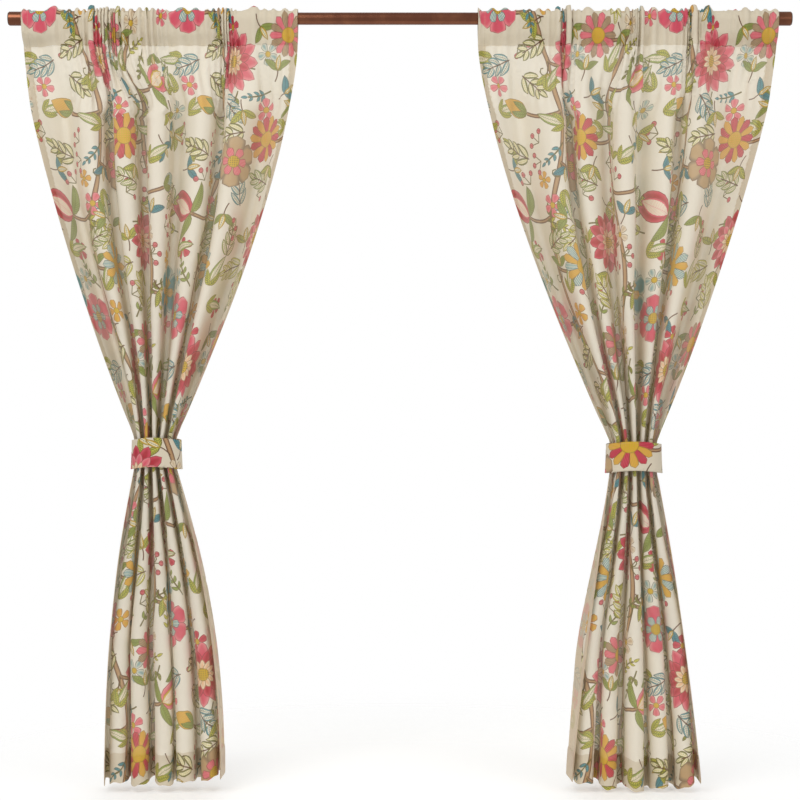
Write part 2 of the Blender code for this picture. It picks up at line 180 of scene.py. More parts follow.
class LeftPanelSizes(bpy.types.PropertyGroup):
    """The left panel's outline."""

    __annotations__ = panel_sizes((0.0288, 0.570, 0.898, -0.009, 0.084, 1.578, 0.010, 0.236, 1.29, 1.52, 2.1))


class RightPanelSizes(bpy.types.PropertyGroup):
    """The right panel's outline."""

    __annotations__ = panel_sizes((0.9712, 0.620, 0.906, 0.0105, 0.096, 1.592, 0.013, 0.262, 1.42, 1.24, 1.2))


class RodSettings(bpy.types.PropertyGroup):
    """Finishes of the rod."""

    bronze: colour("Bronze", "Painted metal of the rod", 116, 72, 54)
    worn: colour("Worn Bronze", "Where the paint is thin", 150, 98, 70)
    steel: colour("Steel", "Plated screw and spring", 190, 192, 196)
    rubber: colour("Rubber", "Feet", 52, 42, 38)
    nylon: colour("Nylon", "Plugs, bushing and lock", 226, 222, 210)


class StudioSettings(bpy.types.PropertyGroup):
    """Camera, floor and light."""

    distance: length("Camera Distance", "Camera to the rod", 4.0)
    lens: number("Lens", "Focal length in mm", 87.0)
    sky: number("Sky", "Strength of the even white light", 0.64)
    floor: colour("Floor", "Plain pale floor", 246, 246, 244)


# --- Shader helpers ---------------------------------------------------------------------------------


class Value:
    """One number socket, so that shader maths reads as arithmetic."""

    def __init__(self, graph, socket):
        self.graph, self.socket = graph, socket

    def maths(self, operation, *others):
        inputs = {i: v for i, v in enumerate((self, *others))}
        return self.graph.node("ShaderNodeMath", {"operation": operation}, inputs)[0]

    def __add__(self, other):
        return self.maths("ADD", other)

    def __mul__(self, other):
        return self.maths("MULTIPLY", other)

    def __sub__(self, other):
        return self.maths("SUBTRACT", other)

    def __rsub__(self, other):
        return self.graph.node("ShaderNodeMath", {"operation": "SUBTRACT"}, {0: other, 1: self})[0]

    def __truediv__(self, other):
        return self.maths("DIVIDE", other)

    __radd__, __rmul__ = __add__, __mul__

    def above(self, limit):
        return self.maths("GREATER_THAN", limit)

    def below(self, limit):
        return self.maths("LESS_THAN", limit)

    def near(self, place, reach):
        """1 within reach of place."""
        return self.maths("COMPARE", place, reach)

    def absolute(self):
        return self.maths("ABSOLUTE")

    def fraction(self):
        return self.maths("FRACT")

    def sine(self):
        return self.maths("SINE")

    def most(self, other):
        return self.maths("MAXIMUM", other)

    def least(self, other):
        return self.maths("MINIMUM", other)

    def ramp(self, low, high):
        """0 at low, 1 at high, straight between."""
        settings = {"clamp": True}
        return self.graph.node("ShaderNodeMapRange", settings, {"Value": self, "From Min": low, "From Max": high})[0]


class Graph:
    """A material's or a world's nodes, made one at a time from a type, its settings and its sockets."""

    def __init__(self, name, world=None):
        self.material = world or bpy.data.materials.new(name)
        self.material.use_nodes = True
        self.tree = self.material.node_tree
        self.tree.nodes.clear()

    def node(self, kind, settings=None, sockets=None):
        node = self.tree.nodes.new(kind)
        for key, value in (settings or {}).items():
            setattr(node, key, value)
        for key, value in (sockets or {}).items():
            socket = node.inputs[key]
            if isinstance(value, Value):
                value = value.socket
            if isinstance(value, bpy.types.NodeSocket):
                self.tree.links.new(value, socket)
            elif socket.type == "RGBA" and len(value) == 3:
                socket.default_value = (*value, 1.0)
            else:
                socket.default_value = value
        return [Value(self, out) if out.type == "VALUE" else out for out in node.outputs]

    def mix(self, share, first, second, blend="MIX"):
        """A colour between two colours."""
        settings = {"data_type": "RGBA", "blend_type": blend}
        return self.node("ShaderNodeMix", settings, {0: share, 6: first, 7: second})[2]

    def noise(self, place, scale, detail=2.0, stretch=(1, 1, 1)):
        moved = self.node("ShaderNodeMapping", {}, {"Vector": place, "Scale": stretch})[0]
        return self.node("ShaderNodeTexNoise", {}, {"Vector": moved, "Scale": scale, "Detail": detail})[0]

    def attribute(self, name):
        """Colour, vector, number and alpha of a mesh attribute."""
        return self.node("ShaderNodeAttribute", {"attribute_name": name})

    def finish(self, varying, constants, through=0.0):
        """A Principled surface, with a share of the light coming through cloth from behind."""
        surface = self.node("ShaderNodeBsdfPrincipled", {}, {**varying, **constants})[0]
        if through:
            behind = self.node("ShaderNodeBsdfTranslucent", {}, {"Color": linear(244, 234, 212)})[0]
            surface = self.node("ShaderNodeMixShader", {}, {0: through, 1: surface, 2: behind})[0]
        self.node("ShaderNodeOutputMaterial", {}, {"Surface": surface})
        return self.material


def bumped(graph, height, distance, strength=1.0):
    inputs = {"Height": height, "Distance": distance, "Strength": strength}
    return graph.node("ShaderNodeBump", {}, inputs)[0]


def woven(graph, uv, base, pulled_in=None):
    """A plain weave with slubs over a base colour, as surface inputs; stitches pull the cloth in."""
    across, down, _ = graph.node("ShaderNodeSeparateXYZ", {}, {0: uv})
    slub_down = graph.noise(uv, 1.0, 2.0, (2400.0, 90.0, 1.0))
    slub_across = graph.noise(uv, 1.0, 2.0, (90.0, 2400.0, 1.0))
    slubs = slub_down + slub_across - 1.0
    shade = (slubs * 0.16 + 1.0).least(1.0)
    grey = graph.node("ShaderNodeCombineColor", {}, {0: shade, 1: shade, 2: shade})[0]
    weave = (across * (TAU / WEAVE_PITCH)).sine() * (down * (TAU / WEAVE_PITCH)).sine()
    height = weave * 0.35 + slubs * 1.2
    if pulled_in:
        height = height - pulled_in * 1.5
    return {
        "Base Color": graph.mix(1.0, base, grey, "MULTIPLY"),
        "Roughness": 0.86 + slubs * 0.1,
        "Normal": bumped(graph, height, 0.12 * MM, 0.8),
    }


def cloth_material(scene, name, doubled_everywhere=False):
    """Printed cotton: ink from the mesh, plain weave, slubs, painted shade where two layers lie together, pale on the
    reverse.
    """
    cloth, bark = scene.cloth, scene.print_colours.bark
    graph = Graph(name)
    uv = graph.node("ShaderNodeUVMap", {"uv_map": "cloth"})[0]
    across, down, _ = graph.node("ShaderNodeSeparateXYZ", {}, {0: uv})
    ink, _, _, printed = graph.attribute("ink")
    second = graph.attribute("second")[0]
    kind = graph.attribute("kind")[2]
    mark = graph.attribute("mark")[1]
    along, side, edge = graph.node("ShaderNodeSeparateXYZ", {}, {0: mark})
    layers = graph.attribute("layers")[2]

    def stripes(place, pitch, share):
        return (place / pitch).fraction().below(share)

    dot_x = ((along / (4.6 * MM)).fraction() - 0.5).absolute()
    dot_y = ((side / (4.6 * MM)).fraction() - 0.5).absolute()
    dots = (dot_x * dot_x + dot_y * dot_y).below(0.055)
    chevron = stripes(along - side.absolute(), 4.8 * MM, 0.40).most(side.absolute().below(0.7 * MM))
    ribs = stripes(side.absolute() + 0.6 * MM, 3.0 * MM, 0.40)
    glow = 1 - edge.ramp(0.0, 9 * MM)
    pattern = kind.near(GLOW, 0.4) * glow
    for index, lines in ((DOTS, dots), (CHEVRON, chevron), (RIBS, ribs)):
        pattern = pattern + kind.near(index, 0.4) * lines
    drawn = graph.mix(pattern, ink, second)
    ragged = edge + (graph.noise(uv, 620.0, 1.0) - 0.5) * (2.4 * MM)
    rim = (side.absolute() * 0.62 + 1.2 * MM).least(4.6 * MM)
    inner = ragged.above(rim) * kind.near(VEINED, 0.4)
    veins = stripes(along - side.absolute(), 4.2 * MM, 0.24).most(side.absolute().below(0.6 * MM))
    pale = graph.mix(veins * 0.75, tuple(scene.print_colours.cream), second)
    drawn = graph.mix(inner, drawn, pale)
    line = edge.below(1.5 * MM) * printed
    outline = graph.mix(0.62, ink, bark)
    drawn = graph.mix(line * 0.85, drawn, outline)
    blotch = graph.noise(uv, 38.0, 3.0)
    worn = printed * (0.96 + (blotch - 0.5) * 0.20)
    # Painted shade: where two layers lie together, the ground and the print are darkened for the light from behind
    # that two layers let through less.
    ground = graph.mix(1.0 if doubled_everywhere else layers, tuple(cloth.ground), tuple(cloth.doubled))
    face = graph.mix(worn, ground, drawn)
    face = graph.mix(layers * 0.12, face, tuple(cloth.doubled), "MULTIPLY")
    stitch_lines = across.near(cloth.side_hem - 2 * MM, 0.45 * MM)
    stitch_lines = stitch_lines.most(across.near(cloth.flat_width - cloth.side_hem + 2 * MM, 0.45 * MM))
    stitches = stitch_lines * stripes(down, 3.2 * MM, 0.62)
    hem_stitches = graph.attribute("seam")[2].below(0.5 * MM) * stripes(across, 3.2 * MM, 0.62)
    stitches = stitches.most(hem_stitches)
    face = graph.mix(stitches * 0.8, face, tuple(cloth.thread))
    show_through = graph.mix(printed * 0.30, tuple(cloth.reverse), drawn)
    behind = graph.node("ShaderNodeNewGeometry")[6]
    base = graph.mix(behind, face, show_through)
    constants = {"Specular IOR Level": 0.25, "Sheen Weight": 0.15, "Sheen Roughness": 0.5}
    constants["Sheen Tint"] = tuple(cloth.ground)
    return graph.finish(woven(graph, uv, base, stitches), constants, 0.10 if doubled_everywhere else 0.20)


# --- The print --------------------------------------------------------------------------------------

REPEAT = (640, 640)  # a usual screen repeat, across and down, in mm


def stroke(start, heading, reach, bend=0.0, curl=0.0, steps=6):
    """A line that sets off at a heading in radians and bends evenly, or ever more with curl."""
    share = (np.arange(steps) + 0.5) / steps
    turn = heading + bend * share + curl * share**2
    moves = np.column_stack((np.cos(turn), np.sin(turn))) * reach / steps
    return np.vstack((np.zeros(2), np.cumsum(moves, axis=0))) + np.asarray(start, float)


def toward(centre, angle, distance):
    return (centre[0] + math.cos(angle) * distance, centre[1] + math.sin(angle) * distance)


LEAF = (0.65, 0.85)
PETAL = (0.80, 0.30)
POINTED = (0.55, 0.60)


class Print:
    """The printed shapes of one repeat, in mm. Later shapes lie over earlier ones."""

    def __init__(self):
        self.shapes = []

    def ribbon(self, spine, half_width, inks, kind=PLAIN, form=None):
        """A shape along a spine: as wide all along, or swelling as form says."""
        spine = np.asarray(spine, float)
        share = np.linspace(0, 1, len(spine))
        if form:
            swell = share ** form[0] * (1 - share) ** form[1]
            peak = form[0] / (form[0] + form[1])
            swell = swell / (peak ** form[0] * (1 - peak) ** form[1])
        else:
            swell = np.ones(len(spine))
        ahead = np.gradient(spine, axis=0)
        ahead /= np.linalg.norm(ahead, axis=1)[:, None]
        beside = np.column_stack((-ahead[:, 1], ahead[:, 0]))
        widths = half_width * swell
        left, right = spine + beside * widths[:, None], spine - beside * widths[:, None]
        if form:
            ring = np.vstack((spine[:1], left[1:-1], spine[-1:], right[-2:0:-1]))
        else:
            ring = np.vstack((left, right[::-1]))
        self.shapes.append(("ribbon", ring[::-1], spine, widths, inks, kind))

    def disc(self, centre, radius, inks, kind=PLAIN, sides=14):
        angles = np.arange(sides) * TAU / sides
        ring = np.column_stack((np.cos(angles) * radius, np.sin(angles) * radius)) + centre
        self.shapes.append(("disc", ring, np.array([centre], float), radius, inks, kind))

    def leaf(self, start, heading, reach, width, inks, kind, bend, form=LEAF, steps=7):
        self.ribbon(stroke(start, heading, reach, bend, steps=steps), width / 2, inks, kind, form)

    def ring_of_petals(self, centre, count, reach, width, inks, kind, start, form=PETAL):
        for index in range(count):
            angle = start + TAU * index / count
            pair = inks[index % len(inks)]
            self.leaf(toward(centre, angle, reach * 0.12), angle, reach * 0.88, width, pair, kind, 0.0, form)

    def tendril(self, start, heading, reach, curl):
        self.ribbon(stroke(start, heading, reach, 0.0, curl, 9), 1.3, ("olive", "olive"))

    def spray(self, start, heading, reach, pairs, inks, kind, bend=0.4):
        stem = stroke(start, heading, reach, bend, steps=8)
        self.ribbon(stem, 1.6, ("olive", "bark"))
        for index in range(pairs):
            share = (index + 1) / (pairs + 0.6)
            at = share * 8
            low = min(int(at), 7)
            base = stem[low] + (stem[low + 1] - stem[low]) * (at - low)
            ahead = heading + bend * share
            size = reach * (0.34 - 0.14 * share)
            for side in (-1, 1):
                self.leaf(base, ahead + side * 0.95, size, size * 0.46, inks, kind, -side * 0.5, steps=5)
        self.leaf(stem[-1], heading + bend, reach * 0.26, reach * 0.12, inks, kind, 0.0, steps=5)

    def vine(self, points, half_width):
        self.ribbon(points, half_width + 1.5, ("bark", "bark"))
        self.ribbon(points, half_width, ("vine", "blossom"), RIBS)

    def blossom(self, at, size, turn, main, other):
        """Six round petals, with six small ones between them."""
        self.ring_of_petals(at, 6, size, size * 0.80, [main], GLOW, turn)
        self.ring_of_petals(at, 6, size * 0.58, size * 0.34, [other], RIBS, turn + TAU / 12)
        self.disc(at, size * 0.24, ("mustard", "bark"), DOTS)

    def daisy(self, at, size, turn, main, other):
        """A full round of narrow petals in two colours about a large eye."""
        self.ring_of_petals(at, 14, size, size * 0.34, [main, other], RIBS, turn)
        self.disc(at, size * 0.36, ("mustard", "orange"), DOTS)

    def dahlia(self, at, size, turn, main, other):
        """Three full rounds of pointed petals, each smaller and turned half a petal."""
        for step, inks in enumerate((main, other, ("orange", "cream"))):
            share = 1.0 - 0.27 * step
            turned = turn + step * TAU / 24
            self.ring_of_petals(at, 12, size * share, size * share * 0.42, [inks], GLOW, turned, form=POINTED)
        self.disc(at, size * 0.20, ("mustard", "bark"), DOTS)

    def tulip(self, at, size, turn, main, other):
        """Three upright petals on two leaves."""
        for side in (-1, 1):
            self.leaf(at, turn + side * 1.9, size * 0.85, size * 0.26, ("leaf", "olive"), CHEVRON, -side * 1.0)
            self.leaf(at, turn + side * 0.60, size, size * 0.42, main, GLOW, -side * 0.9)
        self.leaf(at, turn, size * 0.94, size * 0.46, other, VEINED, 0.0)

    def bud(self, at, size, turn, main, other):
        """A closed oval bud between two sepals."""
        self.leaf(at, turn, size, size * 0.62, main, RIBS, 0.0)
        for side in (-1, 1):
            self.leaf(at, turn + side * 0.55, size * 0.66, size * 0.24, other, CHEVRON, -side * 0.5)

    def feather(self, at, size, turn):
        self.leaf(at, turn, size, size * 0.30, ("leaf", "olive"), VEINED, 0.5, steps=9)
        for side in (-1, 1):
            self.leaf(at, turn + side * 0.7, size * 0.55, size * 0.20, ("lime", "olive"), CHEVRON, -side * 0.4)

    def leafy_branch(self, at, size, turn, inks, kind):
        """Pairs of leaves up a short stem, and one at its end."""
        for share in (0.05, 0.35, 0.65):
            base = toward(at, turn, size * share)
            for side in (-1, 1):
                self.leaf(base, turn + side * 0.9, size * (0.56 - 0.3 * share), size * 0.20, inks, kind, -side * 0.6)
        self.leaf(toward(at, turn, size * 0.75), turn, size * 0.40, size * 0.18, inks, kind, 0.0)
        self.ribbon(stroke(at, turn, size * 0.85), 1.2, ("bark", "bark"))

    def floret(self, at, size, turn, inks):
        self.ring_of_petals(at, 5, size, size * 0.66, [inks], GLOW, turn)
        self.disc(at, size * 0.28, ("mustard", "orange"), sides=8)

    def berries(self, at, size, turn):
        for side in (-0.9, 0.0, 0.9):
            tip = toward(at, turn + side, size)
            self.ribbon(stroke(at, turn + side, size, steps=3), 1.0, ("olive", "olive"))
            self.disc(tip, size * 0.26, ("crimson", "blush"), RIBS, sides=9)


def lay_out_print():
    """One repeat: two vines half a step apart, small things between, and a flower ending each side stem."""
    drawn = Print()
    across, down = REPEAT
    stems = 6
    tips = []
    for vine in (0, 1):
        start, sway, phase = across * (0.25 + 0.5 * vine), 40, math.pi * vine
        rows = np.linspace(0, down, 97)
        drawn.vine(np.column_stack((start + sway * np.sin(TAU * rows / down + phase), rows)), 4.2)
        for step in range(stems):
            row = (step + 0.3 + 0.5 * vine) * down / stems
            side = 1 if step % 2 == 0 else -1
            at = (start + sway * math.sin(TAU * row / down + phase), row)
            heading = 0.45 if side > 0 else math.pi - 0.45
            stem = stroke(at, heading, 88, -side * 0.9, steps=8)
            drawn.vine(stem, 2.6)
            drawn.tendril(at, heading + side * 0.9, 62, side * 5.2)
            tips.append((stem[-1], heading - side * 0.9))
    rng = np.random.default_rng(11)
    greens = (("leaf", "olive"), ("lime", "olive"), ("teal", "deep_teal"), ("olive", "lime"))
    inks = (("pink", "blush"), ("teal", "cream"), ("mustard", "orange"), ("crimson", "pink"), ("blossom", "cream"))
    placed = [np.array(tip) for tip, _ in tips]
    flowers, tries = len(placed), 0
    spacing, flower_room = 38, 24  # between small things, and how much more round a flower
    while len(placed) < flowers + SMALL_THINGS and tries < TRIES:
        tries += 1
        at = rng.uniform((0, 0), (across, down))
        apart = [np.abs((at - other + np.array(REPEAT) / 2) % REPEAT - np.array(REPEAT) / 2) for other in placed]
        clear = [math.hypot(*gap) - (flower_room if index < flowers else 0) for index, gap in enumerate(apart)]
        if min(clear) > spacing:
            placed.append(at)
    for index, at in enumerate(placed[flowers:]):
        turn = rng.uniform(0, TAU)
        green = greens[index % len(greens)]
        style = index % 7
        if style == 0:
            drawn.floret(at, 19 + 7 * rng.random(), turn, inks[index // 7 % len(inks)])
        elif style == 1:
            drawn.berries(at, 24, turn)
        elif style == 2:
            drawn.leafy_branch(at, 72, turn, green, VEINED)
        elif style == 3:
            drawn.feather(at, 70, turn)
        elif style == 4:
            drawn.spray(at, turn, 60, 3, green, DOTS)
        else:
            drawn.ribbon(stroke(at, turn + math.pi, 24, 0.5, steps=4), 1.2, ("bark", "bark"))
            for side in (-1, 1):
                drawn.leaf(at, turn + side * 0.75, 40, 16, green, CHEVRON, side * 0.5, steps=6)
            drawn.leaf(at, turn, 34, 13, ("mustard", "olive"), VEINED, 0.2, steps=5)
    pink, crimson, teal = ("pink", "blush"), ("crimson", "pink"), ("teal", "cream")
    gold, brown, leaf = ("mustard", "orange"), ("blossom", "ash"), ("leaf", "olive")
    kinds = (
        (drawn.dahlia, 70, pink, crimson),
        (drawn.bud, 62, gold, leaf),
        (drawn.blossom, 54, brown, pink),
        (drawn.tulip, 84, crimson, pink),
        (drawn.daisy, 52, teal, gold),
        (drawn.blossom, 50, pink, teal),
        (drawn.tulip, 76, pink, gold),
        (drawn.daisy, 50, crimson, gold),
        (drawn.bud, 66, teal, leaf),
        (drawn.dahlia, 64, crimson, pink),
        (drawn.blossom, 56, teal, gold),
        (drawn.daisy, 48, brown, pink),
    )
    for (at, turn), (flower, size, main, other) in zip(tips, kinds):
        flower(at, size, turn, main, other)
    return drawn.shapes


def marks(shape, shift, places):
    """Along, across and in from the edge, in metres, of places on one printed shape."""
    form, _, spine, size, _, _ = shape
    local = places - shift
    if form == "disc":
        local = local - spine[0]
        edge = size - np.hypot(local[:, 0], local[:, 1])
        return np.column_stack((local, np.maximum(edge, 0))) * MM
    first, ahead = spine[:-1], np.diff(spine, axis=0)
    lengths = np.linalg.norm(ahead, axis=1)
    reach = local[:, None, :] - first[None]
    share = np.clip((reach * ahead[None]).sum(2) / lengths**2, 0, 1)
    away = np.linalg.norm(reach - share[..., None] * ahead[None], axis=2)
    best = away.argmin(1)
    row = np.arange(len(local))
    share, away = share[row, best], away[row, best]
    side = np.sign(ahead[best, 0] * reach[row, best, 1] - ahead[best, 1] * reach[row, best, 0])
    begun = np.concatenate(([0], np.cumsum(lengths)))
    width = size[best] + (size[best + 1] - size[best]) * share
    return np.column_stack((begun[best] + share * lengths[best], side * away, np.maximum(width - away, 0))) * MM


def inside_ring(places, ring):
    """Which places a closed outline winds round, whichever way it runs."""
    start, end = ring, np.roll(ring, -1, axis=0)
    x, y = places[:, :1], places[:, 1:]
    side = (end[:, 0] - start[:, 0]) * (y - start[:, 1]) - (x - start[:, 0]) * (end[:, 1] - start[:, 1])
    up = (start[:, 1] <= y) & (end[:, 1] > y) & (side > 0)
    under = (start[:, 1] > y) & (end[:, 1] <= y) & (side < 0)
    return up.sum(1) != under.sum(1)


def cut_block(shapes, left, top, width, height, lines_down, pitch):
    """Cuts a rectangle of flat cloth into triangles along every printed edge.

    Its edges have to run along each shape on the print, which no mesh operator does, so a
    constrained triangulation does it. All in mm. Gives places, triangles and each one's shape.
    """
    points, edges, rings, owners = [], [], [], []

    def add(ring, closed):
        first = len(points)
        points.extend(map(tuple, ring))
        count = len(ring)
        edges.extend((first + i, first + i + 1) for i in range(count - 1))
        if closed and count > 2:
            edges.append((first + count - 1, first))

    across, down = REPEAT
    low = (math.floor(left / across) - 1, math.floor(top / down) - 1)
    high = (math.floor((left + width) / across) + 1, math.floor((top + height) / down) + 1)
    tiles = [(x, y) for y in range(low[1], high[1] + 1) for x in range(low[0], high[0] + 1)]
    for shape in shapes:
        for tile in tiles:
            shift = np.array(tile) * REPEAT
            ring = shape[1] + shift
            least, most = ring.min(0), ring.max(0)
            if most[0] < left or most[1] < top or least[0] > left + width or least[1] > top + height:
                continue
            rings.append(ring)
            add(ring, True)
            add(shape[2][1:-1] + shift if shape[0] == "ribbon" else shape[2] + shift, False)
            owners.append((shape, shift))
    crowd, cell = set(), 3.2  # a grid point nearer than about a cell to a printed edge is left out
    row_pitch = pitch * 0.866  # rows of even triangles
    for x, y in points:
        for i in (-1, 0, 1):
            for j in (-1, 0, 1):
                crowd.add((round(x / cell) + i, round(y / cell) + j))
    columns, rows = round(width / pitch), round(height / row_pitch)
    for row in range(1, rows):
        y = top + height * row / rows
        for column in range(1, columns):
            x = left + width * (column + (0.25 if row % 2 else -0.25)) / columns
            if (round(x / cell), round(y / cell)) not in crowd:
                points.append((x, y))
    for y in (top, top + height, *lines_down):
        add([(left + width * i / columns, y) for i in range(columns + 1)], False)
    for x in (left, left + width):
        add([(x, top + height * i / rows) for i in range(rows + 1)], False)
    flat = [Vector(p) for p in points]
    places, _, faces, *_ = delaunay_2d_cdt(flat, edges, [], 0, 1e-4, True)
    places = np.array([tuple(p) for p in places])
    faces = np.array([tuple(face) for face in faces])
    middle = places[faces].mean(1)
    inside = (middle[:, 0] > left) & (middle[:, 0] < left + width)
    inside &= (middle[:, 1] > top) & (middle[:, 1] < top + height)
    faces, middle = faces[inside], middle[inside]
    owner = np.full(len(faces), -1)
    for index, ring in enumerate(rings):
        near = np.flatnonzero(((middle >= ring.min(0)) & (middle <= ring.max(0))).all(1))
        owner[near[inside_ring(middle[near], ring)]] = index
    used, faces = np.unique(faces, return_inverse=True)
    return places[used], faces.reshape(-1, 3), owner, owners


def printed_sheet(shapes, left, top, width, height, lines_down=(), pitch=7.2, block=190):
    """A whole rectangle, cut block by block because that is much quicker, and joined at the blocks' edges."""
    columns, rows = math.ceil(width / block), math.ceil(height / block)
    wide, high = width / columns, height / rows
    places, faces, owner, owners = [], [], [], []
    for row in range(rows):
        for column in range(columns):
            x, y = left + column * wide, top + row * high
            inside = [line for line in lines_down if y < line < y + high]
            cut = cut_block(shapes, x, y, wide, high, inside, pitch)
            first = sum(len(made) for made in places)
            places.append(cut[0])
            faces.append(cut[1] + first)
            owner.append(np.where(cut[2] >= 0, cut[2] + len(owners), -1))
            owners.extend(cut[3])
    places, faces, owner = np.vstack(places), np.vstack(faces), np.concatenate(owner)
    _, kept, same = np.unique(np.rint(places * 1000).astype(np.int64), axis=0, return_index=True, return_inverse=True)
    faces = same.reshape(-1)[faces]
    whole = (faces[:, 0] != faces[:, 1]) & (faces[:, 1] != faces[:, 2]) & (faces[:, 2] != faces[:, 0])
    return places[kept], faces[whole], owner[whole], owners


def ink_mesh(mesh, places, faces, owner, owners, colours, doubled, seams):
    """Puts the print on a mesh whose triangles are faces, reversed, as attributes for the shader."""
    faces = faces[:, ::-1]
    count = len(faces)
    ink, second = np.zeros((count, 4)), np.zeros((count, 4))
    kind, mark = np.zeros(count), np.zeros((count, 3, 3))
    mark[..., 2] = 1.0
    order = np.argsort(owner, kind="stable")
    bounds = np.searchsorted(owner[order], np.arange(len(owners) + 1))
    for index, (shape, shift) in enumerate(owners):
        mine = order[bounds[index] : bounds[index + 1]]
        if not len(mine):
            continue
        inks, style = shape[4], shape[5]
        ink[mine] = (*getattr(colours, inks[0]), 1.0)
        second[mine] = (*getattr(colours, inks[1]), 1.0)
        kind[mine] = style
        mark[mine] = marks(shape, shift, places[faces[mine]].reshape(-1, 2)).reshape(-1, 3, 3)
    for name, kind_of, domain, values in (
        ("ink", "FLOAT_COLOR", "FACE", ink),
        ("second", "FLOAT_COLOR", "FACE", second),
        ("kind", "FLOAT", "FACE", kind),
        ("mark", "FLOAT_VECTOR", "CORNER", mark),
        # where two layers lie together, which the shader darkens as painted shade
        ("layers", "FLOAT", "FACE", doubled(places[faces].mean(1) * MM)),
        ("seam", "FLOAT", "POINT", seams(places * MM)),
    ):
        made = mesh.attributes.new(name, kind_of, domain)
        field = {"FLOAT_COLOR": "color", "FLOAT_VECTOR": "vector", "FLOAT": "value"}[kind_of]
        made.data.foreach_set(field, np.ascontiguousarray(values, np.float32).ravel())
    corners = places[faces].reshape(-1, 2) * MM
    lowest, size = corners.min(0), np.ptp(corners, axis=0)
    for name, values in (("cloth", corners), ("OFBake", 0.002 + 0.996 * (corners - lowest) / size)):
        mesh.uv_layers.new(name=name).data.foreach_set("uv", values.astype(np.float32).ravel())


# --- How the cloth hangs ----------------------------------------------------------------------------


def eased(share):
    share = np.clip(share, 0.0, 1.0)
    return share * share * (3 - 2 * share)


def wander(places, pitch, seed):
    """A smooth random line, about -1 to 1, with a wave about every pitch."""
    rng = np.random.default_rng(seed)
    knots = rng.uniform(-1, 1, int(np.max(places) / pitch) + 4)
    at = np.asarray(places) / pitch
    low = np.floor(at).astype(int)
    share = eased(at - low)
    return knots[low] * (1 - share) + knots[low + 1] * share


